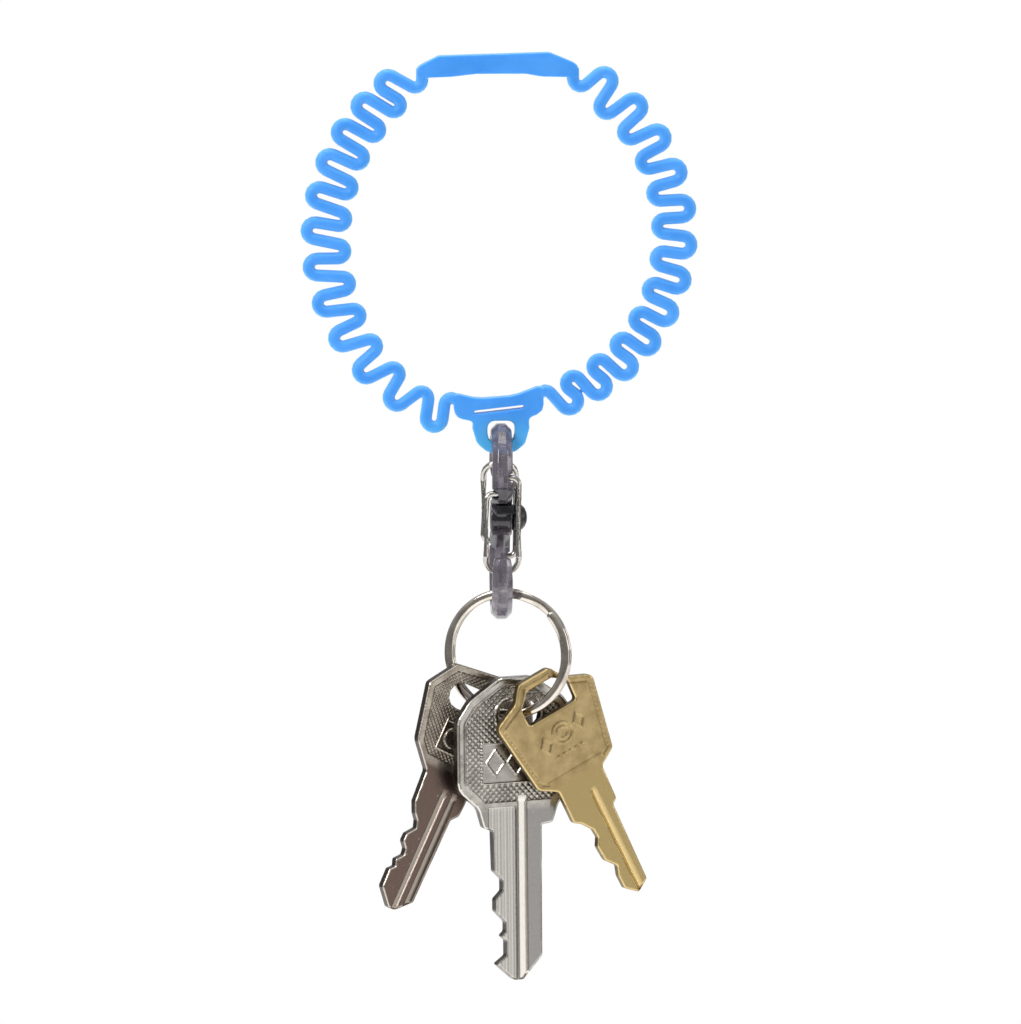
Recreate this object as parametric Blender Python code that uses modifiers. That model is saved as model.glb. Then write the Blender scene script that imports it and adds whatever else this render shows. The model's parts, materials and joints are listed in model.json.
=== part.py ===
"""Carabiner keyring: stretch wristband, double-hook carabiner with rotary lock, split ring and three keys.

Sizes are in millimetres and become metres through MM. The origin is the middle of the inner face
of the wristband's pad, from which everything hangs. X is across the band, -Y is the front, +Z is up.
"""
import math

import bmesh
import bpy
from mathutils import Matrix, Vector

MM = 0.001

# ---- wristband -------------------------------------------------------------------------------
BAND_CENTRE = (0.0, -31.7)  # middle of the loop, as X, Z
STRAND_WIDTH = 2.3
BAND_THICKNESS = 3.0
TURNS = 12  # outer turns on each side, with as many inner ones, the last of which is the tab's ear
# angles are degrees from straight up; a radius is (at the side, slope, curve) over each 60 degrees
LEFT_RUN = {
    "side": -1, "outer_from": 35.5, "outer_to": 159.4, "outer_crowding": -0.17,
    "inner_from": 38.1, "inner_to": 153.2, "inner_crowding": -0.078,
    "outer_radius": (36.75, -0.67, 1.18), "inner_radius": (29.41, -0.12, 2.48),
    "outer_turn": 1.6, "inner_turn": 1.35, "neck": (-14.85, 1.0), "neck_turn": (-16.2, -1.3),
    "root_turn": (-9.35, -62.75), "root": (-6.6, -62.4),
}
RIGHT_RUN = {
    "side": 1, "outer_from": 32.7, "outer_to": 156.9, "outer_crowding": 0.074,
    "inner_from": 38.2, "inner_to": 153.1, "inner_crowding": 0.03,
    "outer_radius": (36.09, -1.43, 0.19), "inner_radius": (29.51, -1.14, 0.51),
    "outer_turn": 1.69, "inner_turn": 1.45, "neck": (13.6, 1.0), "neck_turn": (15.05, -1.1),
    "root_turn": (8.3, -61.5), "root": (5.6, -61.5),
}
# corners are (x, z, corner radius)
PAD_OUTLINE = [
    (-15.9, 1.3, 1.2), (-11.8, 3.4, 0.8), (9.1, 4.0, 0.8), (14.65, 1.7, 1.6), (14.65, -0.7, 0.6),
    (7.6, -0.55, 4.0), (4.6, 0.0, 4.0), (-4.6, 0.0, 4.0), (-9.4, -0.55, 4.0), (-15.9, -0.8, 0.6),
]
TAB_OUTLINE = [
    (-9.1, -60.4, 0.9), (-4.4, -61.5, 6.0), (2.4, -61.0, 6.0), (7.9, -58.9, 0.9),
    (8.1, -64.0, 2.0), (5.2, -65.2, 0.8), (5.5, -68.6, 4.0), (3.0, -71.9, 3.9),
    (-3.0, -71.9, 3.9), (-5.5, -68.6, 4.0), (-5.3, -65.8, 0.8), (-8.8, -65.1, 1.8),
]
TAB_HOLE_CENTRE = (0.0, -68.0)
TAB_HOLE_SPARE = (1.3, 1.2)  # how much wider and higher than the hook's bar the hole is
TAB_HOLE_CORNERS = (1.3, 2.2)  # upper, lower corner radius
TAB_SLOT_CENTRE = (-0.4, -63.55)
TAB_SLOT = (9.6, 0.6)
TAB_SLOT_TILT = 6.5

# ---- carabiner -------------------------------------------------------------------------------
UPPER_APEX = 16.2  # bar centre line above the lock axis
LOWER_APEX = -17.7
LOCK_AXIS_Z = TAB_HOLE_CENTRE[1] - UPPER_APEX  # the upper hook hangs in the tab's hole
HOOK_REACH = 6.55  # from the middle plane to the bar's centre line
BAR_RADIAL = 3.4
BAR_WIDTH = 3.9
BAR_CHAMFER = 1.1
TIP_HEIGHT = 7.05  # where both hook tips end, above and below the lock axis
TIP_SCALE = 0.78
TAPER_SCALE = 0.9  # just above the tip
TAPER_LENGTH = 1.2
WEB_BEND = 5.6  # height where the spine turns in to the boss
WEB_BEND_RADIUS = 2.4
BOSS_RADIUS = 3.4
BOSS_STEP = 0.1  # left outside the boss by the relief
BOSS_PROUD = 0.05  # beyond the bar's side faces
RELIEF_HEIGHT = 3.25  # cut in each spine beside the boss, where the lock's tongues turn
RELIEF_RETURN = 2.0  # how far the cut passes the lock axis
BORE_CLEARANCE = 0.25
RUNNING_GAP = 0.3
OVERSHOOT = 1.0  # how far a cutter runs past the face it cuts

# ---- gates -----------------------------------------------------------------------------------
WIRE_RADIUS = 0.6
GATE_SIDE_GAP = 0.5  # between the bar's side and the gate's leg
GATE_HIGH_END = 8.2
GATE_LOW_END = 5.2
GATE_NOSE = 9.95
GATE_NOSE_BEND = 6.6  # where the nose starts to lean inwards
GATE_NOSE_RADIUS = 2.5
GATE_NOSE_GAP = 0.4  # between the nose and the hook's tip
GATE_END_DEPTH = 0.5  # how near to the middle plane the bent ends reach
GATE_SEAT_GAP = 0.35  # behind the bent ends, in their holes
GATE_BEND_RADIUS = 1.2
GATE_ANGLE = 15.0

# ---- rotary lock -----------------------------------------------------------------------------
SHAFT_RADIUS = 1.1
PLATE_RADIUS = 2.5
PLATE_THICKNESS = 1.05
DOME_HEIGHT = 1.6
DOME_FACETS = 4
TONGUE_Z = (1.2, 2.9)
TONGUE_SHORT = 0.55  # of the gates' plane
TONGUE_BACK = -1.0  # where the tongue ends across the bar; its front clears the gate's leg
ARM_OUTER = 4.3
ARM_INSET = 0.1  # from the plate's faces
RISER_LAP = 0.25  # of the riser into the tongue and into the arm that it joins
RISER_INSET = 0.05
EAR_ANGLE = 68.0  # above the horizontal, at the front
EAR_WIDTH = 1.7
EAR_INSET = 0.2
RETAINER_RADIUS = 1.8
RETAINER_THICKNESS = 0.6
RETAINER_RECESS = 0.9
STUB_RADIUS = 0.6
STUB_PROUD = 0.1  # how much of the retainer the stub leaves for a rivet head

# ---- split ring ------------------------------------------------------------------------------
RING_OUTER = 12.5
RING_RADIAL = 1.8
COIL_HEIGHT = 0.98
COIL_PITCH = 1.06
COIL_CHAMFER = 0.3
RING_OFFSET_X = 1.3
RING_YAW = -20.0
RING_HANG_GAP = 0.52
RING_SEAM = 60.0  # where the coil's ends lie, in degrees from the ring's right side
RING_JOG = 30.0

# ---- keys ------------------------------------------------------------------------------------
KEY_YAW = 21.0
# place is the angle on the ring from its lowest point; outlines are (across, up, corner radius)
# from the point where the ring passes through, before the key is tilted
LEFT_KEY = {
    "name": "left_key", "place": -30.0, "tilt": -26.0, "thickness": 1.9,
    "outline": [
        (-7.8, 5.4, 1.0), (4.5, 6.9, 2.0), (9.6, 4.6, 2.0), (12.2, -0.1, 1.0), (9.8, -10.9, 1.5),
        (5.4, -15.6, 1.0), (5.2, -20.8, 1.0), (3.9, -22.2, 0.3), (3.6, -39.3, 0.3),
        (0.7, -42.1, 0.8), (-0.7, -42.1, 0.6), (-3.6, -39.0, 0.5), (-3.7, -35.4, 0.3),
        (-2.8, -34.5, 0.2), (-3.3, -33.2, 0.3), (-2.1, -31.9, 0.3), (-2.3, -30.7, 0.3),
        (-3.4, -29.5, 0.4), (-3.4, -28.0, 0.4), (-2.0, -26.3, 0.3), (-2.5, -24.9, 0.3),
        (-3.5, -23.8, 0.3), (-4.5, -21.8, 0.4), (-4.9, -15.5, 0.8), (-9.2, -10.9, 1.5),
        (-11.7, -0.1, 1.0),
    ],
    "hole": [(-6.9, 2.6, 2.3), (4.6, 2.8, 2.3), (4.6, -2.4, 2.3), (-6.9, -2.4, 2.3)],
}
CENTRE_KEY = {
    "name": "centre_key", "place": 6.6, "tilt": 0.6, "thickness": 2.0,
    "outline": [
        (-3.4, 7.3, 1.5), (3.4, 7.3, 1.5), (9.6, 3.2, 2.2), (12.3, -0.6, 2.2), (12.3, -13.8, 3.0),
        (8.6, -17.2, 1.5), (7.3, -21.0, 0.8), (5.0, -21.3, 0.3), (4.9, -46.4, 0.8),
        (0.9, -50.8, 0.6), (-1.0, -50.8, 0.6), (-4.6, -47.6, 0.3), (-2.5, -46.1, 0.3),
        (-2.5, -43.2, 0.3), (-3.5, -42.3, 0.2), (-2.6, -41.4, 0.3), (-2.6, -39.6, 0.3),
        (-4.7, -37.4, 0.3), (-4.7, -35.1, 0.3), (-3.2, -33.6, 0.3), (-3.2, -31.4, 0.3),
        (-4.9, -29.7, 0.3), (-5.1, -21.9, 0.3), (-6.9, -21.4, 0.8), (-8.0, -17.6, 1.5),
        (-12.3, -13.8, 3.0), (-12.3, -0.6, 2.2), (-9.6, 3.2, 2.2),
    ],
    "hole": [(-3.6, 2.5, 2.2), (5.0, 2.5, 2.2), (5.0, -2.4, 2.2), (-3.6, -2.4, 2.2)],
}
BRASS_KEY = {
    "name": "brass_key", "place": 38.0, "tilt": 26.0, "thickness": 1.8,
    "outline": [
        (-3.4, 5.9, 1.2), (3.6, 5.9, 1.2), (5.6, 2.8, 1.5), (11.0, 0.4, 1.4), (8.6, -14.3, 1.2),
        (5.1, -16.4, 0.8), (5.0, -23.4, 0.8), (3.9, -24.2, 0.2), (3.8, -40.4, 0.5),
        (1.2, -42.0, 0.6), (-1.1, -39.9, 0.4), (-1.2, -37.2, 0.3), (-0.6, -35.2, 0.3),
        (-2.3, -33.1, 0.4), (-2.6, -30.0, 0.3), (-1.7, -28.4, 0.3), (-1.9, -26.6, 0.3),
        (-3.6, -24.3, 0.3), (-4.9, -23.5, 0.6), (-5.0, -16.6, 0.8), (-8.6, -14.3, 1.2),
        (-11.0, 0.4, 1.4), (-5.6, 2.8, 1.5),
    ],
    "hole": [(-2.3, 3.9, 0.7), (3.2, 3.9, 0.7), (6.0, 1.9, 0.7), (5.9, -2.4, 0.7),
             (-4.8, -2.4, 0.7), (-4.9, 1.1, 0.7)],
}

ARC_STEP = 30.0  # degrees in one facet of a rounded corner
STRAND_STEP = 24.0  # degrees in one facet of the band's turns


def start_empty():
    for thing in list(bpy.data.objects):
        bpy.data.objects.remove(thing, do_unlink=True)


def new_collection(name):
    collection = bpy.data.collections.new(name)
    bpy.context.scene.collection.children.link(collection)
    return collection


def make_material(name, colour, metallic, roughness):
    material = bpy.data.materials.new(name)
    material.use_nodes = True
    shader = material.node_tree.nodes["Principled BSDF"]
    shader.inputs["Base Color"].default_value = (*colour, 1.0)
    shader.inputs["Metallic"].default_value = metallic
    shader.inputs["Roughness"].default_value = roughness
    material.diffuse_color = (*colour, 1.0)
    return material


def rounded_loop(corners, step=ARC_STEP):
    """Outline through the corners, each turned into an arc of its own radius."""
    loop = []
    count = len(corners)
    for index, (x, y, radius) in enumerate(corners):
        here = Vector((x, y))
        if not radius:
            loop.append(here)
            continue
        before = Vector(corners[index - 1][:2]) - here
        after = Vector(corners[(index + 1) % count][:2]) - here
        opening = before.angle(after)
        reach = radius / math.tan(opening / 2)
        reach = min(reach, 0.48 * before.length, 0.48 * after.length)
        radius = reach * math.tan(opening / 2)
        start = here + before.normalized() * reach
        end = here + after.normalized() * reach
        centre = here + (before.normalized() + after.normalized()).normalized() * (
            radius / math.sin(opening / 2))
        sweep = (start - centre).angle_signed(end - centre)
        facets = max(1, round(abs(math.degrees(sweep)) / step))
        for facet in range(facets + 1):
            loop.append(centre + Matrix.Rotation(-sweep * facet / facets, 2) @ (start - centre))
    return loop


def mesh_from(thing, name, collection):
    """Turn a curve object into a welded mesh object in the same place."""
    evaluated = thing.evaluated_get(bpy.context.evaluated_depsgraph_get())
    mesh = bpy.data.meshes.new_from_object(evaluated)
    work = bmesh.new()
    work.from_mesh(mesh)
    bmesh.ops.remove_doubles(work, verts=work.verts, dist=0.001 * MM)
    bmesh.ops.recalc_face_normals(work, faces=work.faces)
    work.to_mesh(mesh)
    work.free()
    place = thing.matrix_world.copy()
    bpy.data.objects.remove(thing, do_unlink=True)
    solid = bpy.data.objects.new(name, mesh)
    collection.objects.link(solid)
    solid.matrix_world = place
    return solid


def plate(name, loops, thickness, collection):
    """Flat plate in the local XY plane, with its thickness shared on both sides of it."""
    curve = bpy.data.curves.new(name, "CURVE")
    curve.dimensions = "2D"
    curve.fill_mode = "BOTH"
    curve.extrude = thickness / 2 * MM
    for loop in loops:
        spline = curve.splines.new("POLY")
        spline.points.add(len(loop) - 1)
        for point, place in zip(spline.points, loop):
            point.co = (place[0] * MM, place[1] * MM, 0, 1)
        spline.use_cyclic_u = True
    outline = bpy.data.objects.new(name, curve)
    collection.objects.link(outline)
    bpy.context.view_layer.update()
    return mesh_from(outline, name, collection)


def sweep(name, route, collection, depth=0.0, profile=None, scales=None, extrude=0.0):
    """Bar along a route of 3D points, with a round section or the given profile."""
    curve = bpy.data.curves.new(name, "CURVE")
    curve.dimensions = "3D"
    curve.twist_mode = "Z_UP"
    curve.use_fill_caps = True
    curve.bevel_depth = depth * MM
    curve.bevel_resolution = 2
    curve.extrude = extrude * MM
    guide = None
    if profile:
        shape = bpy.data.curves.new(name + "_section", "CURVE")
        shape.dimensions = "2D"
        section = shape.splines.new("POLY")
        section.points.add(len(profile) - 1)
        for point, place in zip(section.points, profile):
            point.co = (place[0] * MM, place[1] * MM, 0, 1)
        section.use_cyclic_u = True
        guide = bpy.data.objects.new(name + "_section", shape)
        guide.hide_render = True
        guide.display_type = "WIRE"
        collection.objects.link(guide)
        curve.bevel_mode = "OBJECT"
        curve.bevel_object = guide
    spline = curve.splines.new("POLY")
    spline.points.add(len(route) - 1)
    for index, (point, place) in enumerate(zip(spline.points, route)):
        point.co = (place[0] * MM, place[1] * MM, place[2] * MM, 1)
        point.radius = scales[index] if scales else 1.0
    bar = bpy.data.objects.new(name, curve)
    collection.objects.link(bar)
    bpy.context.view_layer.update()
    solid = mesh_from(bar, name, collection)
    if guide:
        bpy.data.objects.remove(guide, do_unlink=True)
    return solid


def place_flat(thing, yaw=0.0, tilt=0.0, at=(0.0, 0.0, 0.0)):
    """Stand a plate up: its local Y becomes up and its local Z faces the front."""
    thing.matrix_world = (
        Matrix.Translation(Vector(at) * MM)
        @ Matrix.Rotation(math.radians(yaw), 4, "Z")
        @ Matrix.Rotation(math.radians(90), 4, "X")
        @ Matrix.Rotation(math.radians(tilt), 4, "Z")
    )


def box(name, low, high, collection):
    bpy.ops.mesh.primitive_cube_add(size=1)
    block = bpy.context.object
    block.name = name
    low, high = Vector(low) * MM, Vector(high) * MM
    block.data.transform(Matrix.LocRotScale((low + high) / 2, None, high - low))
    move_to(block, collection)
    return block


def rod_x(name, radius, low, high, centre, collection, sides=24, stretch=0.0):
    """Cylinder along X; stretch makes it a slot that is longer along Y."""
    bpy.ops.mesh.primitive_cylinder_add(vertices=sides, radius=radius * MM, depth=(high - low) * MM)
    rod = bpy.context.object
    rod.name = name
    rod.data.transform(Matrix.Rotation(math.radians(90), 4, "Y"))
    if stretch:
        # half a facet's turn leaves no corner on the plane where the slot is drawn out
        rod.data.transform(Matrix.Rotation(math.pi / sides, 4, "X"))
    for vertex in rod.data.vertices:
        side = 1 if vertex.co.y > 0 else -1
        vertex.co.y += side * stretch * MM
    rod.data.transform(Matrix.Translation(Vector(((low + high) / 2, centre[0], centre[1])) * MM))
    move_to(rod, collection)
    return rod


def move_to(thing, collection):
    for holder in list(thing.users_collection):
        holder.objects.unlink(thing)
    collection.objects.link(thing)


def join(thing, others, operation):
    """Boolean modifiers on thing, with the other solids kept as hidden cutters."""
    for other in others:
        other.hide_render = True
        other.display_type = "WIRE"
        move_to(other, cutters)
        modifier = thing.modifiers.new(operation.lower() + "_" + other.name, "BOOLEAN")
        modifier.operation = operation
        modifier.solver = "EXACT"
        modifier.object = other
    return thing


def finish(thing, material, origin=None):
    """Give the material and smooth shading, and set the origin on the piece's joint."""
    thing.data.materials.clear()
    thing.data.materials.append(material)
    thing.data.shade_smooth()
    thing.data.set_sharp_from_angle(angle=math.radians(35))
    if origin is not None:
        shift = Matrix.Translation(Vector(origin) * MM)
        thing.data.transform(shift.inverted() @ thing.matrix_world)
        thing.matrix_world = shift
    return thing


def turned_pieces():
    """Names the moving pieces' hinge points, in millimetres."""
    hinge = {"carabiner": (0, 0, LOCK_AXIS_Z + UPPER_APEX), "lock": (0, 0, LOCK_AXIS_Z)}
    middle = (GATE_HIGH_END + GATE_LOW_END) / 2
    hinge["lower_gate"] = (0, -HOOK_REACH, LOCK_AXIS_Z + middle)
    hinge["upper_gate"] = (0, HOOK_REACH, LOCK_AXIS_Z - middle)
    hinge["ring"] = (0, 0, LOCK_AXIS_Z + LOWER_APEX + HOOK_REACH)
    return hinge


# ---- wristband -------------------------------------------------------------------------------
def turn_centres(run):
    """Centres, radii and senses of the strand's turns, from the pad down to the tab."""
    def polar(radius, angle):
        a = math.radians(angle)
        return Vector((BAND_CENTRE[0] + run["side"] * radius * math.sin(a),
                       BAND_CENTRE[1] + radius * math.cos(a)))

    def curve_at(terms, angle):
        t = (angle - 90) / 60
        return terms[0] + terms[1] * t + terms[2] * t * t

    turns = [(Vector(run["neck_turn"]), run["inner_turn"], -1)]
    for index in range(TURNS):
        for kind, sense, count in (("outer", 1, TURNS), ("inner", -1, TURNS - 1)):
            if index == count:
                continue
            u = index / (count - 1)
            first, last = run[kind + "_from"], run[kind + "_to"]
            angle = first + (last - first) * (u + run[kind + "_crowding"] * u * (1 - u))
            tip = curve_at(run[kind + "_radius"], angle)
            bend = run[kind + "_turn"]
            turns.append((polar(tip - sense * bend, angle), bend, sense))
    turns.append((Vector(run["root_turn"]), run["inner_turn"], -1))
    return turns


def strand_route(run):
    """Legs and turns of one side, from its neck to its root in the tab, as X, Z points."""
    side = run["side"]
    turns = turn_centres(run)
    legs = []
    for (a, ra, sense), (b, rb, _) in zip(turns, turns[1:]):
        across = b - a
        spin = -sense * side
        heading = math.atan2(across.y, across.x) + spin * math.asin((ra + rb) / across.length)
        normal = Vector((math.sin(heading), -math.cos(heading))) * spin
        legs.append((a + ra * normal, b - rb * normal))
    first, radius, _ = turns[0]
    last = turns[-1]
    starts = [first + Vector((-side * radius, 0))] + [leg[1] for leg in legs]
    ends = [leg[0] for leg in legs] + [last[0] + Vector((0, last[1]))]
    route = [Vector(run["neck"])]
    for (centre, bend, sense), start, finish_at in zip(turns, starts, ends):
        spin = -sense * side
        a0 = math.atan2(start.y - centre.y, start.x - centre.x)
        a1 = math.atan2(finish_at.y - centre.y, finish_at.x - centre.x)
        swept = ((a1 - a0) * spin) % (2 * math.pi)
        facets = max(2, round(math.degrees(swept) / STRAND_STEP))
        for facet in range(facets + 1):
            angle = a0 + spin * swept * facet / facets
            route.append(centre + bend * Vector((math.cos(angle), math.sin(angle))))
    route.append(Vector(run["root"]))
    return route


def make_wristband():
    half = STRAND_WIDTH / 2
    straight = (BAND_THICKNESS - STRAND_WIDTH) / 2
    half_x, half_z = (BAR_WIDTH + TAB_HOLE_SPARE[0]) / 2, (BAR_RADIAL + TAB_HOLE_SPARE[1]) / 2
    hole = [(x * half_x, z * half_z, TAB_HOLE_CORNERS[0 if z > 0 else 1])
            for x, z in ((-1, 1), (1, 1), (1, -1), (-1, -1))]
    hole = [(x + TAB_HOLE_CENTRE[0], z + TAB_HOLE_CENTRE[1], r) for x, z, r in hole]
    length, height = TAB_SLOT
    slot = rounded_loop([(-length / 2, height / 2, height / 2), (length / 2, height / 2, height / 2),
                         (length / 2, -height / 2, height / 2), (-length / 2, -height / 2, height / 2)])
    turn = Matrix.Rotation(math.radians(TAB_SLOT_TILT), 2)
    slot = [turn @ point + Vector(TAB_SLOT_CENTRE) for point in slot]
    band = plate("wristband", [rounded_loop(TAB_OUTLINE), rounded_loop(hole), slot],
                 BAND_THICKNESS, parts)
    place_flat(band)
    pad = plate("pad", [rounded_loop(PAD_OUTLINE)], BAND_THICKNESS, cutters)
    place_flat(pad)
    strands = []
    for run in (LEFT_RUN, RIGHT_RUN):
        route = [(p.x, p.y, 0.0) for p in strand_route(run)]
        strand = sweep("strand", route, cutters, depth=half, extrude=straight)
        place_flat(strand)
        strands.append(strand)
    join(band, [pad, *strands], "UNION")
    return finish(band, make_material("blue silicone", (0.07, 0.32, 0.87), 0.0, 0.35), (0, 0, 0))


# ---- carabiner -------------------------------------------------------------------------------
def hook_route(apex, step=10.0):
    """One hook from its tip over the apex and down its spine to the web, as (y, z) points."""
    middle = abs(apex) - HOOK_REACH
    route = [(HOOK_REACH, TIP_HEIGHT), (HOOK_REACH, TIP_HEIGHT + TAPER_LENGTH)]
    facets = round(180 / step)
    for facet in range(facets + 1):
        angle = math.pi * facet / facets
        route.append((HOOK_REACH * math.cos(angle), middle + HOOK_REACH * math.sin(angle)))
    corner = rounded_loop([(-HOOK_REACH, middle, 0.0), (-HOOK_REACH, WEB_BEND, WEB_BEND_RADIUS),
                           (0.0, 0.0, 0.0)], step)
    return route + [tuple(point) for point in corner[1:-1]]


def make_carabiner():
    upper = hook_route(UPPER_APEX)
    lower = [(-y, -z) for y, z in hook_route(LOWER_APEX)]
    route = upper + [(0.0, 0.0)] + lower[::-1]
    tips = [TIP_SCALE, TAPER_SCALE]
    scales = tips + [1.0] * (len(route) - 2 * len(tips)) + tips[::-1]
    half_r, half_w, cut = BAR_RADIAL / 2, BAR_WIDTH / 2, BAR_CHAMFER
    profile = [(half_r - cut, half_w), (half_r, half_w - cut), (half_r, cut - half_w),
               (half_r - cut, -half_w), (cut - half_r, -half_w), (-half_r, cut - half_w),
               (-half_r, half_w - cut), (cut - half_r, half_w)]
    body = sweep("carabiner_body", [(y, z, 0.0) for y, z in route], parts,
                 profile=profile, scales=scales)
    # the route's first axis becomes Y, its second Z and its third X
    body.matrix_world = Matrix.Translation((0, 0, LOCK_AXIS_Z * MM)) @ Matrix(
        ((0, 0, 1, 0), (1, 0, 0, 0), (0, 1, 0, 0), (0, 0, 0, 1)))
    face = BAR_WIDTH / 2
    past = face + OVERSHOOT
    end = face + BOSS_PROUD
    boss = rod_x("boss", BOSS_RADIUS, -end, end, (0, LOCK_AXIS_Z), cutters, 36)
    join(body, [boss], "UNION")
    cuts = []
    for side in (-1, 1):
        low_y, high_y = sorted((side * (BOSS_RADIUS + BOSS_STEP), side * (HOOK_REACH + BAR_RADIAL)))
        low_z, high_z = sorted((side * RELIEF_RETURN, -side * RELIEF_HEIGHT))
        cuts.append(box("relief", (-past, low_y, LOCK_AXIS_Z + low_z),
                        (past, high_y, LOCK_AXIS_Z + high_z), cutters))
    cuts.append(rod_x("shaft_bore", SHAFT_RADIUS + BORE_CLEARANCE, -past, past,
                      (0, LOCK_AXIS_Z), cutters))
    cuts.append(rod_x("retainer_recess", RETAINER_RADIUS + RUNNING_GAP, -past,
                      -face + RETAINER_RECESS, (0, LOCK_AXIS_Z), cutters))
    swing = math.sin(math.radians(GATE_ANGLE)) * (GATE_HIGH_END - GATE_LOW_END) / 2
    for side in (-1, 1):
        for height, x0 in ((GATE_HIGH_END, 1), (GATE_LOW_END, -1)):
            low_x, high_x = sorted((x0 * (GATE_END_DEPTH - GATE_SEAT_GAP), x0 * past))
            cuts.append(rod_x("gate_hole", WIRE_RADIUS + BORE_CLEARANCE, low_x, high_x,
                              (side * HOOK_REACH, LOCK_AXIS_Z - side * height), cutters, 12, swing))
    join(body, cuts, "DIFFERENCE")
    return finish(body, make_material("smoke polycarbonate", (0.16, 0.14, 0.18), 0.0, 0.2),
                  turned_pieces()["carabiner"])


# ---- gates -----------------------------------------------------------------------------------
def gate_leg():
    """Distance from the middle of the bar to the centre line of a gate's leg."""
    return BAR_WIDTH / 2 + GATE_SIDE_GAP + WIRE_RADIUS


def make_gate(name, side):
    """Bent wire loop; side is -1 for the front gate and 1 for the rear one."""
    def arc(centre, radius, first, last, facets):
        for facet in range(facets + 1):
            angle = math.radians(first + (last - first) * facet / facets)
            yield centre[0] + radius * math.cos(angle), centre[1] + radius * math.sin(angle)

    bend, nose = GATE_BEND_RADIUS, GATE_NOSE_RADIUS
    leg = gate_leg()
    flat = [(GATE_END_DEPTH, GATE_HIGH_END)]
    flat += arc((leg - bend, GATE_HIGH_END - bend), bend, 90, 0, 4)
    flat.append((leg, -GATE_NOSE_BEND))
    flat += arc((leg - nose, -GATE_NOSE + nose), nose, 0, -90, 6)
    flat += arc((nose - leg, -GATE_NOSE + nose), nose, -90, -180, 6)
    flat.append((-leg, -GATE_NOSE_BEND))
    flat += arc((bend - leg, GATE_LOW_END - bend), bend, 180, 90, 4)
    flat.append((-GATE_END_DEPTH, GATE_LOW_END))
    inboard = BAR_RADIAL / 2 + WIRE_RADIUS + GATE_NOSE_GAP
    route = []
    for x, z in flat:
        lean = max(0.0, (-GATE_NOSE_BEND - z) / (GATE_NOSE - GATE_NOSE_BEND))
        y = -HOOK_REACH + inboard * lean
        route.append((x, -side * y, LOCK_AXIS_Z - side * z))
    gate = sweep(name, route, parts, depth=WIRE_RADIUS)
    return finish(gate, steel, turned_pieces()[name])


# ---- rotary lock -----------------------------------------------------------------------------
def make_lock():
    face = BAR_WIDTH / 2
    plate_x = face + BOSS_PROUD + RUNNING_GAP
    top_x = plate_x + PLATE_THICKNESS
    cap_top = -face + RETAINER_RECESS - RUNNING_GAP
    cap_bottom = cap_top - RETAINER_THICKNESS
    stub_end = cap_bottom + STUB_PROUD
    profile = [(0.0, top_x + DOME_HEIGHT)]
    for facet in range(1, DOME_FACETS + 1):
        angle = math.radians(90 * (1 - facet / DOME_FACETS))
        profile.append((PLATE_RADIUS * math.cos(angle), top_x + DOME_HEIGHT * math.sin(angle)))
    profile += [(PLATE_RADIUS, plate_x), (SHAFT_RADIUS, plate_x),
                (SHAFT_RADIUS, -face + RETAINER_RECESS), (STUB_RADIUS, -face + RETAINER_RECESS),
                (STUB_RADIUS, stub_end), (0.0, stub_end)]
    rotor = turned("lock_rotor", profile, parts)
    pieces = []
    for side in (-1, 1):
        zs = sorted(-side * z for z in TONGUE_Z)
        inner = BOSS_RADIUS + RUNNING_GAP
        front = gate_leg() - WIRE_RADIUS - RUNNING_GAP
        tongue = (TONGUE_BACK, front, inner, HOOK_REACH - TONGUE_SHORT, 0.0)
        arm = (plate_x + ARM_INSET, top_x - ARM_INSET, 0.0, ARM_OUTER, 0.0)
        riser = (front - RISER_LAP, arm[0] + RISER_LAP,
                 inner + RISER_INSET, ARM_OUTER - RISER_INSET, RISER_INSET)
        for name, (x0, x1, y0, y1, inset) in (("tongue", tongue), ("arm", arm), ("riser", riser)):
            ys = sorted((side * y0, side * y1))
            pieces.append(box(name, (x0, ys[0], LOCK_AXIS_Z + zs[0] + inset),
                              (x1, ys[1], LOCK_AXIS_Z + zs[1] - inset), cutters))
    reach = HOOK_REACH - WIRE_RADIUS - RUNNING_GAP
    ear = box("ear", (plate_x + EAR_INSET, -EAR_WIDTH / 2, -reach),
              (top_x - EAR_INSET, EAR_WIDTH / 2, reach), cutters)
    ear.matrix_world = (Matrix.Translation((0, 0, LOCK_AXIS_Z * MM))
                        @ Matrix.Rotation(math.radians(90 - EAR_ANGLE), 4, "X"))
    pieces.append(ear)
    join(rotor, pieces, "UNION")
    black = make_material("black acetal", (0.012, 0.012, 0.014), 0.0, 0.35)
    finish(rotor, black, turned_pieces()["lock"])
    cap = rod_x("lock_retainer", RETAINER_RADIUS, cap_bottom, cap_top, (0, LOCK_AXIS_Z), parts)
    join(cap, [rod_x("retainer_hole", STUB_RADIUS + BORE_CLEARANCE, cap_bottom - OVERSHOOT,
                     cap_top + OVERSHOOT, (0, LOCK_AXIS_Z), cutters)], "DIFFERENCE")
    finish(cap, black, turned_pieces()["lock"])


def turned(name, profile, collection, sides=32):
    """Solid of revolution about X at the lock axis, from (radius, x) points."""
    mesh = bpy.data.meshes.new(name)
    points = [(radius * MM, 0.0, x * MM) for radius, x in profile]
    mesh.from_pydata(points, [(i, i + 1) for i in range(len(points) - 1)], [])
    piece = bpy.data.objects.new(name, mesh)
    collection.objects.link(piece)
    screw = piece.modifiers.new("turn", "SCREW")
    screw.steps = screw.render_steps = sides
    screw.use_merge_vertices = True
    screw.merge_threshold = 0.0001 * MM
    piece.matrix_world = (Matrix.Translation((0, 0, LOCK_AXIS_Z * MM))
                          @ Matrix.Rotation(math.radians(90), 4, "Y"))
    bpy.context.view_layer.update()
    return mesh_from(piece, name, collection)


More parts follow.
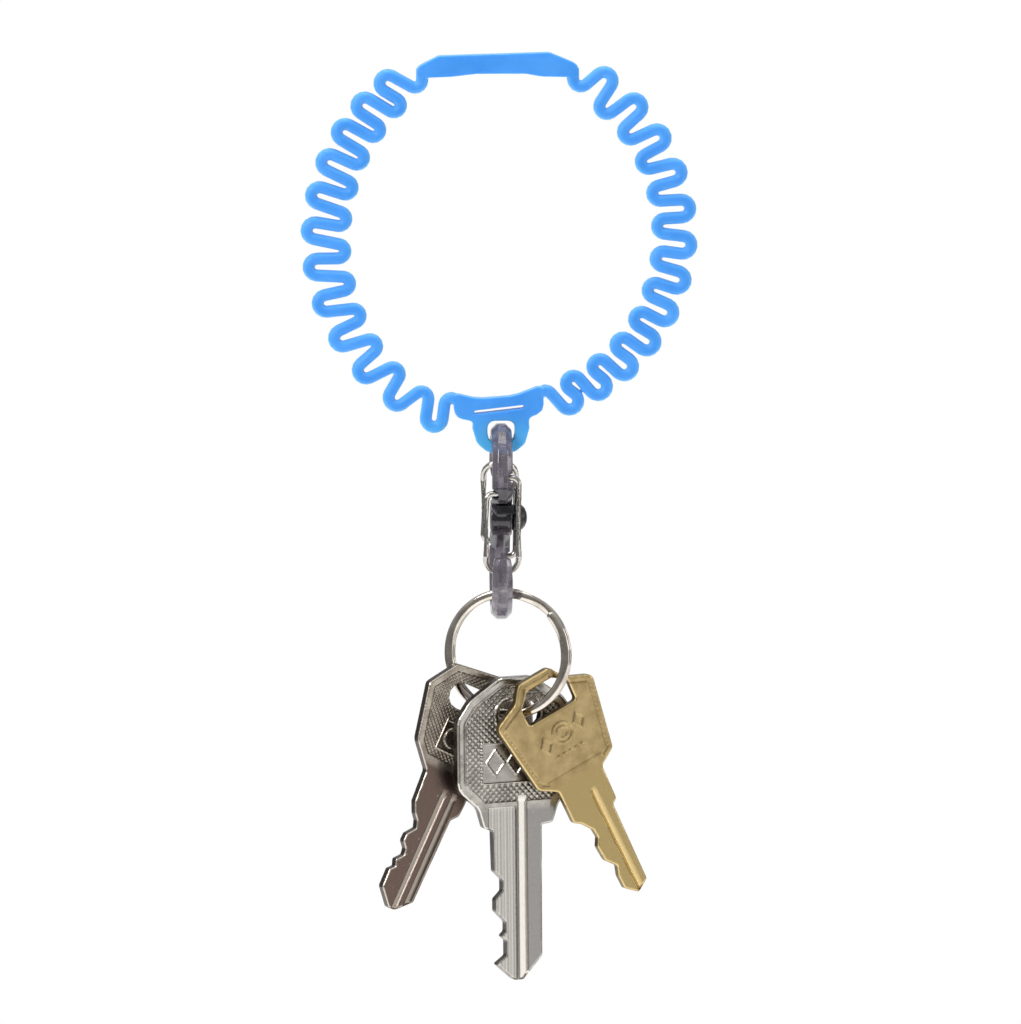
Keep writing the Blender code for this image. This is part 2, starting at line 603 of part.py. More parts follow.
# ---- split ring ------------------------------------------------------------------------------
def ring_frame():
    """Turns the ring's own plane, whose third axis is its axle, to where it hangs."""
    inner = RING_OUTER - RING_RADIAL
    rise = BAR_WIDTH ** 2 / (8 * inner)  # of the ring's curve over the width of the bar
    top = LOCK_AXIS_Z + LOWER_APEX + BAR_RADIAL / 2 + RING_HANG_GAP + rise
    centre = Vector((RING_OFFSET_X, -RING_OFFSET_X * math.tan(math.radians(-RING_YAW)),
                     top - inner))
    return (Matrix.Translation(centre * MM)
            @ Matrix.Rotation(math.radians(RING_YAW), 4, "Z")
            @ Matrix.Rotation(math.radians(90), 4, "X"))


def make_ring():
    middle = RING_OUTER - RING_RADIAL / 2
    half_r, half_h, cut = RING_RADIAL / 2, COIL_HEIGHT / 2, COIL_CHAMFER
    profile = [(half_r, half_h - cut), (half_r - cut, half_h), (cut - half_r, half_h),
               (-half_r, half_h - cut), (-half_r, cut - half_h), (cut - half_r, -half_h),
               (half_r - cut, -half_h), (half_r, cut - half_h)]
    first, last, step = RING_JOG / 2, 720 - RING_JOG / 2, 7.5
    count = round((last - first) / step)
    route = []
    for index in range(count + 1):
        angle = first + (last - first) * index / count
        u = min(1.0, max(0.0, (angle - 360 + RING_JOG / 2) / RING_JOG))
        lift = COIL_PITCH * (u * u * (3 - 2 * u) - 0.5)
        a = math.radians(angle + RING_SEAM)
        route.append((middle * math.cos(a), middle * math.sin(a), lift))
    ring = sweep("split_ring", route, parts, profile=profile)
    ring.matrix_world = ring_frame()
    return finish(ring, make_material("nickel", (0.62, 0.6, 0.57), 1.0, 0.15),
                  turned_pieces()["ring"])


# ---- keys ------------------------------------------------------------------------------------
def key_place(key):
    """Where the ring's wire passes through the key."""
    angle = math.radians(key["place"] - 90)
    middle = (RING_OUTER - RING_RADIAL / 2) * MM
    return ring_frame() @ Vector((middle * math.cos(angle), middle * math.sin(angle), 0.0)) / MM


def make_key(key, material):
    loops = [rounded_loop(key["outline"]), rounded_loop(key["hole"])]
    piece = plate(key["name"], loops, key["thickness"], parts)
    place_flat(piece, KEY_YAW, key["tilt"], key_place(key))
    return finish(piece, material)


start_empty()
parts = new_collection("carabiner_keyring")
cutters = new_collection("cutters")
steel = make_material("stainless wire", (0.66, 0.64, 0.61), 1.0, 0.2)
make_wristband()
make_carabiner()
make_gate("lower_gate", -1)
make_gate("upper_gate", 1)
make_lock()
make_ring()
nickel_silver = make_material("nickel silver", (0.45, 0.43, 0.41), 1.0, 0.3)
make_key(LEFT_KEY, nickel_silver)
make_key(CENTRE_KEY, nickel_silver)
make_key(BRASS_KEY, make_material("key brass", (0.45, 0.36, 0.17), 1.0, 0.35))
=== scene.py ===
import json
import math

import bmesh
import bpy
import numpy as np
from mathutils import Matrix, Vector


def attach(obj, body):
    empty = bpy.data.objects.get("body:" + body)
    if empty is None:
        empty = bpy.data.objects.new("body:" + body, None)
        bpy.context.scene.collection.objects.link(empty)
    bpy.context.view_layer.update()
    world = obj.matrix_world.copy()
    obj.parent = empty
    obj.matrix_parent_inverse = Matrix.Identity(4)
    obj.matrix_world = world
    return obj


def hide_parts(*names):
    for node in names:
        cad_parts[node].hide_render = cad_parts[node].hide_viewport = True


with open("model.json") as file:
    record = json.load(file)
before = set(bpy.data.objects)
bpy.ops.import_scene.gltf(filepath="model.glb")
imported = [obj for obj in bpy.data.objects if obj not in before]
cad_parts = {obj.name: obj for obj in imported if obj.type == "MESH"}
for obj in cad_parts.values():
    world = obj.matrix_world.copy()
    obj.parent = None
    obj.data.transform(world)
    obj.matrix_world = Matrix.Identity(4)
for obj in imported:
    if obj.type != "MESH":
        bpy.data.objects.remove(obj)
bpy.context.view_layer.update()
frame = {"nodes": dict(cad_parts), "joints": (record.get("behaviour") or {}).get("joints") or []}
mm = 0.001
joints = {joint["name"]: joint for joint in frame["joints"]}
print("frame:", len(frame["nodes"]), "nodes")


# shared tools
def hexColour(text):  # sRGB hex to the linear colour that a shader takes
    parts = [int(text[i:i + 2], 16) / 255 for i in (1, 3, 5)]
    return (*[p / 12.92 if p <= 0.04045 else ((p + 0.055) / 1.055) ** 2.4 for p in parts], 1.0)


def addNode(tree, kind, settings=None, links=None):
    node = tree.nodes.new("ShaderNode" + kind)
    for name, value in (settings or {}).items():
        if isinstance(name, str) and hasattr(node, name):
            setattr(node, name, value)
        else:
            node.inputs[name].default_value = value
    for name, socket in (links or {}).items():
        tree.links.new(socket, node.inputs[name])
    return node


def newFinish(name, **values):  # a material with its shader's own sockets set
    material = bpy.data.materials.new(name)
    material.use_nodes = True
    tree = material.node_tree
    shader = tree.nodes["Principled BSDF"]
    for socket, value in values.items():
        shader.inputs[socket.replace("_", " ")].default_value = value
    return material, tree, shader


def mixColour(tree, factor, first, second, blend="MIX"):
    node = addNode(tree, "Mix", {"data_type": "RGBA", "blend_type": blend})
    for index, colour in ((6, first), (7, second)):
        if isinstance(colour, str):
            node.inputs[index].default_value = hexColour(colour)
        else:
            tree.links.new(colour, node.inputs[index])
    if isinstance(factor, float):
        node.inputs[0].default_value = factor
    else:
        tree.links.new(factor, node.inputs[0])
    return node.outputs[2]


def ramp(tree, value, low, high, toLow=0.0, toHigh=1.0):
    node = addNode(tree, "MapRange", {"From Min": low, "From Max": high, "To Min": toLow, "To Max": toHigh},
                   {"Value": value})
    return node.outputs["Result"]


def grain(tree, place, size, detail=2.0):  # noise whose blobs are about this many millimetres across
    node = addNode(tree, "TexNoise", {"Scale": 1 / (size * mm), "Detail": detail}, {"Vector": place})
    return node.outputs["Fac"]


def addBump(tree, shader, height, depth, normal=None):  # depth in millimetres
    links = {"Height": height}
    if normal:
        links["Normal"] = normal
    node = addNode(tree, "Bump", {"Strength": 1.0, "Distance": depth * mm}, links)
    tree.links.new(node.outputs["Normal"], shader.inputs["Normal"])
    return node.outputs["Normal"]


def useOnly(piece):
    bpy.ops.object.select_all(action="DESELECT")
    piece.select_set(True)
    bpy.context.view_layer.objects.active = piece


def freshCopy(node, name):  # the CAD solid's own shape, welded, as a start for a finished piece
    piece = bpy.data.objects.new(name, frame["nodes"][node].data.copy())
    bpy.context.scene.collection.objects.link(piece)
    piece.data.name = name
    piece.data.materials.clear()
    useOnly(piece)
    bpy.ops.object.mode_set(mode="EDIT")
    bpy.ops.mesh.select_all(action="SELECT")
    bpy.ops.mesh.remove_doubles(threshold=0.002 * mm)
    bpy.ops.object.mode_set(mode="OBJECT")
    return piece


def change(piece, kind, **settings):  # one modifier, applied at once
    useOnly(piece)
    modifier = piece.modifiers.new(kind.lower(), kind)
    for name, value in settings.items():
        setattr(modifier, name, value)
    bpy.ops.object.modifier_apply(modifier=modifier.name)


def soften(piece, cell, rounds):  # an even skin of small cells, whose edges are then rounded off
    change(piece, "REMESH", mode="VOXEL", voxel_size=cell * mm, use_smooth_shade=True)
    change(piece, "SMOOTH", factor=0.5, iterations=rounds)


def finishPiece(piece, material, body, slot, *nodes, angle=None):
    piece.data.materials.clear()
    piece.data.materials.append(material)
    useOnly(piece)
    if angle:
        bpy.ops.object.shade_smooth_by_angle(angle=math.radians(angle))
    else:
        bpy.ops.object.shade_smooth()
    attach(piece, body)
    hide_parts(*nodes)
    print(piece.name, len(piece.data.polygons), "faces")


# wristband: silicone rubber, cast in one piece, so a little light passes through it
bandLook = {
    "cell": 0.14, "rounding": 9, "kept": 0.31,
    "body": "#4a9ae8", "rim": "#62b0f0", "tab": "#52b0e4", "shade": "#3e90e0",
    "tabFrom": -64.5, "tabTo": -70.5,  # height in mm where the tab's paler blue begins and is full
}


def siliconeFinish():
    material, tree, shader = newFinish("castSilicone", Roughness=0.42, IOR=1.41, Subsurface_Weight=0.45,
                                       Subsurface_Radius=(0.25, 0.6, 1.0), Subsurface_Scale=1.6 * mm,
                                       Specular_IOR_Level=0.45)
    coords = addNode(tree, "TexCoord")
    place = coords.outputs["Object"]
    facing = addNode(tree, "SeparateXYZ", {}, {0: coords.outputs["Normal"]}).outputs["Y"]
    flat = addNode(tree, "Math", {"operation": "ABSOLUTE"}, {0: facing}).outputs[0]
    rim = ramp(tree, flat, 0.95, 0.45)  # the sides are paler, as light comes through the thin edge
    cloudy = ramp(tree, grain(tree, place, 6.0), 0.35, 0.65)
    colour = mixColour(tree, cloudy, bandLook["shade"], bandLook["body"])
    colour = mixColour(tree, rim, colour, bandLook["rim"])
    height = addNode(tree, "SeparateXYZ", {}, {0: place}).outputs["Z"]
    low = ramp(tree, height, bandLook["tabFrom"] * mm, bandLook["tabTo"] * mm)
    colour = mixColour(tree, low, colour, bandLook["tab"])
    tree.links.new(colour, shader.inputs["Base Color"])
    skin = addBump(tree, shader, grain(tree, place, 2.5, 3.0), 0.05)  # slow waves of a cast skin
    addBump(tree, shader, grain(tree, place, 0.3, 2.0), 0.006, skin)  # the mould's fine grain
    return material


def makeWristband():
    band = freshCopy("wristband", "castWristband")
    soften(band, bandLook["cell"], bandLook["rounding"])
    change(band, "DECIMATE", ratio=bandLook["kept"])  # the straight legs need fewer faces than the turns
    finishPiece(band, siliconeFinish(), "band", "blue_silicone", "wristband")


# carabiner: clear smoke polycarbonate, moulded, with soft edges between its flats
bodyLook = {"cell": 0.13, "rounding": 16, "clear": "#a29ba6", "deep": "#6d6571", "core": "#37313a",
            "coreFrom": 4.0, "coreTo": 8.0}  # mm from the lock's axis where the thick dark web ends


def smokeFinish():
    material, tree, shader = newFinish("smokePolycarbonate", Roughness=0.16, IOR=1.58,
                                       Transmission_Weight=0.72, Coat_Weight=0.25)
    place = addNode(tree, "TexCoord").outputs["Object"]
    stretched = addNode(tree, "Mapping", {"Scale": (1.0, 1.0, 0.25)}, {"Vector": place}).outputs[0]
    swirl = ramp(tree, grain(tree, stretched, 1.6, 3.0), 0.3, 0.7)  # flow marks along the moulding
    height = addNode(tree, "SeparateXYZ", {}, {0: place}).outputs["Z"]
    offset = addNode(tree, "Math", {"operation": "SUBTRACT", 1: joints["lock_turn"]["pos_m"][2]}, {0: height})
    away = addNode(tree, "Math", {"operation": "ABSOLUTE"}, {0: offset.outputs[0]}).outputs[0]
    core = ramp(tree, away, bodyLook["coreTo"] * mm, bodyLook["coreFrom"] * mm)
    colour = mixColour(tree, swirl, bodyLook["deep"], bodyLook["clear"])
    tree.links.new(mixColour(tree, core, colour, bodyLook["core"]), shader.inputs["Base Color"])
    rub = ramp(tree, grain(tree, place, 0.5, 4.0), 0.35, 0.75, 0.1, 0.3)
    tree.links.new(rub, shader.inputs["Roughness"])
    addBump(tree, shader, grain(tree, stretched, 0.8, 2.0), 0.02)
    return material


def makeCarabiner():
    body = freshCopy("carabiner_body", "smokeCarabiner")
    soften(body, bodyLook["cell"], bodyLook["rounding"])
    finishPiece(body, smokeFinish(), "carabiner", "smoke_plastic", "carabiner_body")


# gates: drawn stainless wire, bright, with draw lines and a few tea-brown stains
wireLook = {"cell": 0.09, "rounding": 6, "metal": "#b9b4ae", "stain": "#8a5a3e", "line": 0.12}


def wireFinish():
    material, tree, shader = newFinish("drawnStainless", Metallic=1.0, Roughness=0.16)
    place = addNode(tree, "TexCoord").outputs["Object"]
    along = addNode(tree, "Mapping", {"Scale": (1.0, 1.0, 0.05)}, {"Vector": place}).outputs[0]
    lines = grain(tree, along, wireLook["line"], 2.0)
    patches = ramp(tree, grain(tree, place, 4.5, 4.0), 0.6, 0.75, 0.0, 0.45)
    colour = mixColour(tree, patches, wireLook["metal"], wireLook["stain"])
    tree.links.new(colour, shader.inputs["Base Color"])
    tree.links.new(ramp(tree, lines, 0.3, 0.7, 0.1, 0.24), shader.inputs["Roughness"])
    addBump(tree, shader, lines, 0.004)
    return material


def roundOff(piece, levels):  # a swept bar's facets become one even round surface
    useOnly(piece)
    bpy.ops.object.mode_set(mode="EDIT")
    bpy.ops.mesh.select_all(action="SELECT")
    bpy.ops.mesh.tris_convert_to_quads(face_threshold=math.radians(40), shape_threshold=math.radians(120))
    bpy.ops.object.mode_set(mode="OBJECT")
    change(piece, "SUBSURF", levels=levels, render_levels=levels)


def makeGates():
    steel = wireFinish()
    for node in ("lower_gate", "upper_gate"):
        gate = freshCopy(node, node.replace("_gate", "WireGate"))
        soften(gate, wireLook["cell"], wireLook["rounding"])
        finishPiece(gate, steel, node, "stainless_wire", node)


# rotary lock: black acetal, satin
lockLook = {"cell": 0.09, "rounding": 4, "black": "#0b0b0d", "worn": "#26262a"}


def acetalFinish():
    material, tree, shader = newFinish("blackAcetal", Roughness=0.34, IOR=1.48)
    place = addNode(tree, "TexCoord").outputs["Object"]
    scuff = ramp(tree, grain(tree, place, 0.7, 5.0), 0.5, 0.8)
    tree.links.new(mixColour(tree, scuff, lockLook["black"], lockLook["worn"]), shader.inputs["Base Color"])
    tree.links.new(ramp(tree, scuff, 0.0, 1.0, 0.28, 0.5), shader.inputs["Roughness"])
    addBump(tree, shader, grain(tree, place, 0.15, 2.0), 0.006)
    return material


def makeLock():
    black = acetalFinish()
    for node, name in (("lock_rotor", "rotaryLock"), ("lock_retainer", "lockSnapCap")):
        piece = freshCopy(node, name)
        soften(piece, lockLook["cell"], lockLook["rounding"])
        finishPiece(piece, black, "lock", "black_plastic", node)


# split ring: coiled spring wire with polished nickel plate
ringLook = {"metal": "#d2cac0", "haze": "#b3aaa0"}


def nickelFinish():
    material, tree, shader = newFinish("polishedNickel", Metallic=1.0, Roughness=0.1)
    place = addNode(tree, "TexCoord").outputs["Object"]
    haze = ramp(tree, grain(tree, place, 3.0, 4.0), 0.4, 0.7)
    tree.links.new(mixColour(tree, haze, ringLook["metal"], ringLook["haze"]), shader.inputs["Base Color"])
    scratches = grain(tree, place, 0.15, 5.0)
    tree.links.new(ramp(tree, scratches, 0.4, 0.8, 0.07, 0.22), shader.inputs["Roughness"])
    addBump(tree, shader, scratches, 0.003)
    return material


def makeRing():
    ring = freshCopy("split_ring", "nickelSplitRing")
    roundOff(ring, 2)
    finishPiece(ring, nickelFinish(), "ring", "nickel_plate", "split_ring")


# keys: stamped blanks, with their relief carved into a fine even grid
def fade(value, low, high):  # 0 below low, 1 above high, smooth between
    t = np.clip((value - low) / (high - low), 0, 1)
    return t * t * (3 - 2 * t)


def inBox(x, y, left, right, bottom, top, soft=0.15):
    return (fade(x, left, left + soft) * fade(-x, -right, soft - right)
            * fade(y, bottom, bottom + soft) * fade(-y, -top, soft - top))


def ringShape(x, y, cx, cy, radius, width):  # 1 on a ring's line, 0 off it
    return 1 - fade(abs(np.hypot(x - cx, y - cy) - radius), width / 2 - 0.05, width / 2 + 0.1)


def lozenge(x, y, cx, cy, wide, high, width):
    reach = (abs(x - cx) / wide + abs(y - cy) / high - 1) * min(wide, high)
    return 1 - fade(abs(reach), width / 2 - 0.05, width / 2 + 0.1)


def pyramids(x, y, pitch):  # knurling: 0 in its valleys, 1 on its points, in diagonal rows
    u = ((x + y) / pitch) % 1 - 0.5
    v = ((x - y) / pitch) % 1 - 0.5
    return 1 - 2 * np.maximum(abs(u), abs(v))


def groove(x, centre, halfWidth, power=2.0):  # 1 in the middle of a groove, 0 at its sides
    return np.clip(1 - np.abs((x - centre) / halfWidth) ** power, 0, 1)


leftLook = {
    "tilt": -26.0, "knurlPitch": 0.9, "knurlDeep": 0.24, "border": 1.25, "fieldEnd": -12.6,
    "panel": (-4.85, 4.85, -10.6, -5.1), "panelDeep": 0.3, "ringRadius": 1.75, "rings": (-2.3, 2.3),
    "grooves": (0.45, 2.6), "grooveHalf": 0.62, "grooveTop": -17.2, "grooveDeep": 0.42,
}
centreLook = {
    "tilt": 0.6, "knurlPitch": 1.2, "knurlDeep": 0.3, "border": 1.75, "fieldEnd": -16.6,
    "panel": (-7.0, 7.0, -12.8, -5.2), "panelDeep": 0.34, "lozenges": (-4.4, 0.0, 4.4),
    "millFrom": -6.0, "millTo": -0.25, "millTop": -17.3, "millDeep": 0.38,
    "channel": 1.0, "channelHalf": 0.95, "channelTop": -14.4, "channelDeep": 0.5,
}
brassLook = {
    "tilt": 26.0, "line": 1.15, "lineWidth": 0.3, "lineDeep": 0.14, "headEnd": -15.3,
    "groove": 1.4, "grooveLean": 0.022, "grooveHalf": 0.8, "grooveTop": -18.9, "grooveDeep": 0.6,
    "badge": (0.6, -6.6),
}


def leftRelief(x, y, outer, hole):
    look = leftLook
    panel = inBox(x, y, *look["panel"])
    frameLine = inBox(x, y, *(v + s * 0.35 for v, s in zip(look["panel"], (-1, 1, -1, 1))))
    field = fade(outer, look["border"], look["border"] + 0.2) * fade(hole, 0.15, 0.35)
    field = field * fade(y, look["fieldEnd"], look["fieldEnd"] + 0.3) * (1 - frameLine)
    height = look["knurlDeep"] * field * (pyramids(x, y, look["knurlPitch"]) - 1)
    middle = (look["panel"][2] + look["panel"][3]) / 2
    emblem = sum(ringShape(x, y, cx, middle, look["ringRadius"], 0.4) for cx in look["rings"])
    height = height - look["panelDeep"] * panel * (1 - 0.7 * np.clip(emblem, 0, 1))
    cut = sum(groove(x, cx, look["grooveHalf"], 6.0) for cx in look["grooves"])
    cut = cut * fade(-y, -look["grooveTop"], 1.8 - look["grooveTop"])
    height = height - look["grooveDeep"] * cut
    return height, np.clip(field + panel, 0, 1), 0.35 * cut


def centreRelief(x, y, outer, hole):
    look = centreLook
    panel = inBox(x, y, *look["panel"])
    field = fade(outer, look["border"], look["border"] + 0.25) * fade(hole, 0.8, 1.0)
    field = field * fade(y, look["fieldEnd"], look["fieldEnd"] + 0.3)
    field = field * (1 - inBox(x, y, *(v + s * 0.3 for v, s in zip(look["panel"], (-1, 1, -1, 1)))))
    channel = groove(x, look["channel"], look["channelHalf"], 8.0)
    channel = channel * fade(-y, -look["channelTop"], 2.4 - look["channelTop"])
    height = look["knurlDeep"] * field * (pyramids(x, y, look["knurlPitch"]) - 1)
    rim = fade(outer, 0.35, 0.6) * (1 - fade(outer, look["border"] - 0.5, look["border"] - 0.1))
    height = height - 0.1 * rim * fade(y, look["fieldEnd"] - 2.0, look["fieldEnd"])
    middle = (look["panel"][2] + look["panel"][3]) / 2
    emblem = sum(lozenge(x, y, cx, middle, 1.9, 2.5, 0.42) for cx in look["lozenges"])
    height = height - look["panelDeep"] * panel * (1 - 0.7 * np.clip(emblem, 0, 1))
    mill = fade(x, look["millFrom"], look["millFrom"] + 0.1)
    mill = mill * (1 - fade(x, look["millTo"] - 0.1, look["millTo"]))
    mill = mill * fade(-y, -look["millTop"], 0.25 - look["millTop"])
    lines = np.sin(x * 9.7) + 0.7 * np.sin(x * 17.3 + 1.0) + 0.5 * np.sin(x * 5.1 + 2.0)
    height = height * (1 - mill) - mill * (look["millDeep"] + 0.014 * lines)
    height = np.minimum(height, -look["channelDeep"] * channel)
    return height, np.clip(field + panel, 0, 1), np.clip(mill * (0.34 + 0.16 * lines) + channel, 0, 1)


def brassRelief(x, y, outer, hole):
    look = brassLook
    head = np.where(abs(x) < 6.2, np.minimum(outer, y - look["headEnd"]), outer)
    line = 1 - fade(abs(head - look["line"]), look["lineWidth"] / 2, look["lineWidth"] / 2 + 0.12)
    line = line * fade(y, look["headEnd"], look["headEnd"] + 0.2)
    bx, by = look["badge"]
    badge = ringShape(x, y, bx, by, 2.0, 0.3) + ringShape(x, y, bx, by, 1.1, 0.3)
    badge = badge + lozenge(x, y, bx - 4.0, by - 0.8, 1.2, 1.6, 0.3)
    badge = badge + lozenge(x, y, bx + 4.0, by + 0.6, 1.2, 1.6, 0.3)
    for index in range(5):
        badge = badge + inBox(x, y, bx - 3.0 + 1.3 * index, bx - 2.2 + 1.3 * index, by - 4.4, by - 3.6, 0.1)
    height = -look["lineDeep"] * line + 0.11 * np.clip(badge, 0, 1)
    centre = look["groove"] + look["grooveLean"] * (look["grooveTop"] - y)
    cut = groove(x, centre, look["grooveHalf"], 1.2) * fade(-y, -look["grooveTop"], 1.6 - look["grooveTop"])
    return height - look["grooveDeep"] * cut, np.clip(line + badge, 0, 1), cut


def rimEdges(piece):  # edges where the front flat meets the side walls, as pairs of points
    work = bmesh.new()
    work.from_mesh(piece.data)
    work.normal_update()
    edges = [[np.array(vert.co.xy) for vert in edge.verts] for edge in work.edges
             if len(edge.link_faces) == 2 and sum(face.normal.z > 0.9 for face in edge.link_faces) == 1]
    work.free()
    return edges


def distanceTo(points, edges):
    best = np.full(len(points), 99.0)
    for first, last in edges:
        along = last - first
        t = np.clip(((points - first) @ along) / (along @ along), 0, 1)
        away = points - first - t[:, None] * along
        best = np.minimum(best, np.hypot(away[:, 0], away[:, 1]))
    return best


def makeKey(node, name, look, relief, material, slot, cell=0.15):
    joint = joints[node + "_swing"]
    axis = Vector(joint["axis"])
    yaw = math.atan2(-axis.x, axis.y) if axis.y > 0 else math.atan2(axis.x, -axis.y)
    toWorld = (Matrix.Translation(Vector(joint["pos_m"])) @ Matrix.Rotation(yaw, 4, "Z")
               @ Matrix.Rotation(math.radians(90), 4, "X")
               @ Matrix.Rotation(math.radians(look["tilt"]), 4, "Z") @ Matrix.Scale(mm, 4))
    piece = freshCopy(node, name)
    piece.data.transform(toWorld.inverted())  # flat on its back, in millimetres from the ring's crossing
    edges = rimEdges(piece)
    holeEdges = [edge for edge in edges if max(abs(edge[0][0]), abs(edge[1][0])) < 7.4
                 and max(abs(edge[0][1]), abs(edge[1][1])) < 4.4]
    outerEdges = [edge for edge in edges if not any(edge is other for other in holeEdges)]
    half = max(vert.co.z for vert in piece.data.vertices)
    change(piece, "REMESH", mode="VOXEL", voxel_size=cell)
    points = np.zeros(len(piece.data.vertices) * 3)
    piece.data.vertices.foreach_get("co", points)
    points = points.reshape(-1, 3)
    x, y = points[:, 0], points[:, 1]
    outer, hole = distanceTo(points[:, :2], outerEdges), distanceTo(points[:, :2], holeEdges)
    flip = np.where(points[:, 2] > 0, 1.0, -1.0)  # the back carries the same relief, mirrored
    height, pattern, cut = relief(x, y, outer, hole)
    rim = np.minimum(outer, hole)
    height = height - 0.22 * (1 - fade(rim, 0.0, 0.32))  # the tumbled edge
    flat = fade(abs(points[:, 2]), half - 0.12, half - 0.04)
    points[:, 2] += flip * flat * height
    piece.data.vertices.foreach_set("co", points.ravel())
    # the side walls are marked for a painted shade
    layers = {"pattern": pattern * flat, "cut": cut * flat, "rim": rim, "across": x, "up": y,
              "sunk": -height * flat, "wallShade": 1 - flat}
    for label, values in layers.items():
        layer = piece.data.attributes.new(label, "FLOAT", "POINT")
        layer.data.foreach_set("value", values.astype(np.float32))
    piece.data.transform(toWorld)
    finishPiece(piece, material, node, slot, node, angle=28)


def layerOf(tree, label):
    return addNode(tree, "Attribute", {"attribute_name": label}).outputs["Fac"]


def keyFinish(name, flat, deep, bright, bladeShade, wallShade, roughness, bladeFrom):
    material, tree, shader = newFinish(name, Metallic=1.0, Roughness=roughness)
    place = addNode(tree, "TexCoord").outputs["Object"]
    sunk = layerOf(tree, "sunk")
    rim = layerOf(tree, "rim")
    onBlade = ramp(tree, layerOf(tree, "up"), bladeFrom, bladeFrom - 1.5)
    tarnish = ramp(tree, grain(tree, place, 2.2, 5.0), 0.35, 0.7)
    colour = mixColour(tree, tarnish, flat, deep)
    # painted shade: the blade takes a darker colour, a painted dark reflection on its flats
    colour = mixColour(tree, onBlade, colour, bladeShade)
    # darker the deeper the knurl field and the panel sink
    darkerWhereSunk = addNode(tree, "Math", {"operation": "MULTIPLY"}, {0: ramp(tree, sunk, 0.06, 0.36, 0.0, 0.55),
                                                            1: layerOf(tree, "pattern")}).outputs[0]
    colour = mixColour(tree, darkerWhereSunk, colour, deep)
    colour = mixColour(tree, layerOf(tree, "cut"), colour, bright)
    # painted highlight: a bright band along the edges of the outline and the hole
    colour = mixColour(tree, ramp(tree, rim, 0.42, 0.12), colour, bright)
    # painted shade: the side walls take a dark colour
    colour = mixColour(tree, layerOf(tree, "wallShade"), colour, wallShade)
    specks = ramp(tree, grain(tree, place, 0.35, 1.0), 0.72, 0.78, 0.0, 0.4)  # tiny dings
    colour = mixColour(tree, specks, colour, bright)
    tree.links.new(colour, shader.inputs["Base Color"])
    scratches = grain(tree, place, 0.12, 4.0)
    worn = ramp(tree, scratches, 0.3, 0.8, roughness * 0.7, roughness * 1.5)
    tree.links.new(worn, shader.inputs["Roughness"])
    wavy = addBump(tree, shader, grain(tree, place, 1.8, 3.0), 0.02)
    addBump(tree, shader, scratches, 0.004, wavy)
    return material


def makeKeys():
    # each key's fifth colour is a painted dark reflection for the blade, its sixth a painted shade for the
    # side walls
    dark = keyFinish("wornNickelSilver", "#aea598", "#7d7369", "#d2cabd", "#62534c", "#453b37", 0.3, -13.0)
    makeKey("left_key", "stampedKeyLeft", leftLook, leftRelief, dark, "dark_nickel_silver")
    pale = keyFinish("knurledNickel", "#b9b4ac", "#8b8780", "#dcd7cf", "#8b8885", "#56524f", 0.24, -17.0)
    makeKey("centre_key", "stampedKeyCentre", centreLook, centreRelief, pale, "bright_nickel_silver")
    brass = keyFinish("satinBrass", "#ab966c", "#927d56", "#d8c08a", "#a08c60", "#6b5a36", 0.34, -14.5)
    makeKey("brass_key", "stampedKeyBrass", brassLook, brassRelief, brass, "key_brass")


# camera, light and floor
studioLook = {
    "aim": (1.8, 0.0, -83.2), "distance": 2000.0, "azimuth": -2.5, "elevation": 6.5, "viewHeight": 193.9,
    "floor": -300.0, "floorSize": 1300.0,
    "lamps": {  # place, size and power; keyPanel is large and dim, mirrored by the keys' flats
        "keySoftbox": ((-420.0, -420.0, 260.0), 300.0, 2.6),
        "fillSoftbox": ((640.0, -90.0, 40.0), 300.0, 0.9),
        "topSoftbox": ((0.0, -60.0, 520.0), 400.0, 1.5),
        "keyPanel": ((640.0, -640.0, -200.0), 560.0, 0.95),
    },
}


def makeCamera():
    aim = Vector(studioLook["aim"]) * mm
    azimuth, elevation = math.radians(studioLook["azimuth"]), math.radians(studioLook["elevation"])
    back = Vector((math.sin(azimuth) * math.cos(elevation), -math.cos(azimuth) * math.cos(elevation),
                   math.sin(elevation)))
    data = bpy.data.cameras.new("studioCamera")
    data.sensor_width = 36.0
    data.lens = data.sensor_width * studioLook["distance"] / studioLook["viewHeight"]
    data.clip_start, data.clip_end = 0.01, 50.0
    camera = bpy.data.objects.new("studioCamera", data)
    camera.location = aim + back * studioLook["distance"] * mm
    camera.rotation_euler = (-back).to_track_quat("-Z", "Y").to_euler()
    bpy.context.scene.collection.objects.link(camera)
    bpy.context.scene.camera = camera
    print("camera:", round(data.lens), "mm lens")


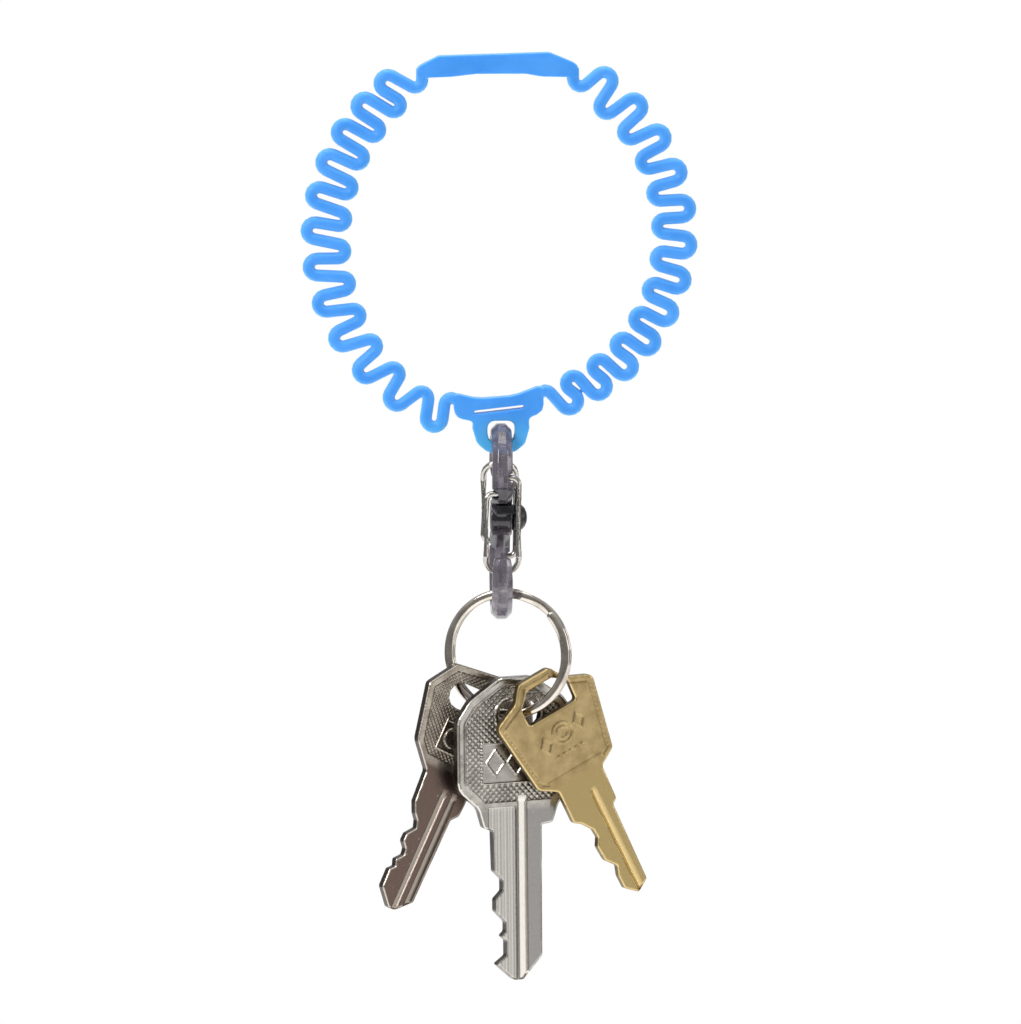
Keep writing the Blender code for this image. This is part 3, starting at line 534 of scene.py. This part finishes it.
def addSoftbox(name, place, size, power):  # a square lamp at place, in mm, facing the object
    data = bpy.data.lights.new(name, "AREA")
    data.size = size * mm
    data.energy = power
    lamp = bpy.data.objects.new(name, data)
    lamp.location = Vector(place) * mm
    toward = Vector(studioLook["aim"]) - Vector(place)
    lamp.rotation_euler = toward.to_track_quat("-Z", "Y").to_euler()
    bpy.context.scene.collection.objects.link(lamp)


def makeStudio():
    for name, (place, size, power) in studioLook["lamps"].items():
        addSoftbox(name, place, size, power)
    world = bpy.data.worlds.new("studio")
    bpy.context.scene.world = world
    world.use_nodes = True
    tree = world.node_tree
    facing = addNode(tree, "SeparateXYZ", {}, {0: addNode(tree, "TexCoord").outputs["Generated"]})
    above = ramp(tree, facing.outputs["Z"], -0.3, 0.9, 0.16, 0.65)  # a dim room, lightest overhead
    behind = ramp(tree, facing.outputs["Y"], 0.85, 0.97, 0.0, 1.0)  # with a white sheet behind the object
    room = addNode(tree, "Math", {"operation": "MAXIMUM"}, {0: behind, 1: above}).outputs[0]
    seen = addNode(tree, "LightPath").outputs["Is Camera Ray"]  # the sheet goes all the way round to the eye
    backdrop = addNode(tree, "Math", {"operation": "MAXIMUM"}, {0: room, 1: seen}).outputs[0]
    tree.links.new(backdrop, tree.nodes["Background"].inputs["Strength"])
    tree.nodes["Background"].inputs["Color"].default_value = hexColour("#ffffff")
    material, tree, shader = newFinish("paleFloor", Roughness=1.0, Emission_Strength=0.4,
                                       Specular_IOR_Level=0.0)
    place = addNode(tree, "TexCoord").outputs["Object"]
    tone = mixColour(tree, grain(tree, place, 60.0), "#fbfbfb", "#ffffff")
    tree.links.new(tone, shader.inputs["Base Color"])
    tree.links.new(tone, shader.inputs["Emission Color"])
    bpy.ops.object.select_all(action="DESELECT")
    level = studioLook["floor"] * mm
    bpy.ops.mesh.primitive_plane_add(size=studioLook["floorSize"] * mm, location=(0, 0, level))
    floor = bpy.context.object
    floor.name = "floor"
    floor.data.materials.append(material)
    bpy.context.scene.view_settings.view_transform = "Standard"
    print("studio:", len(studioLook["lamps"]), "lamps, white backdrop and floor")


makeCamera()
makeStudio()
makeWristband()
makeCarabiner()
makeGates()
makeLock()
makeRing()
makeKeys()
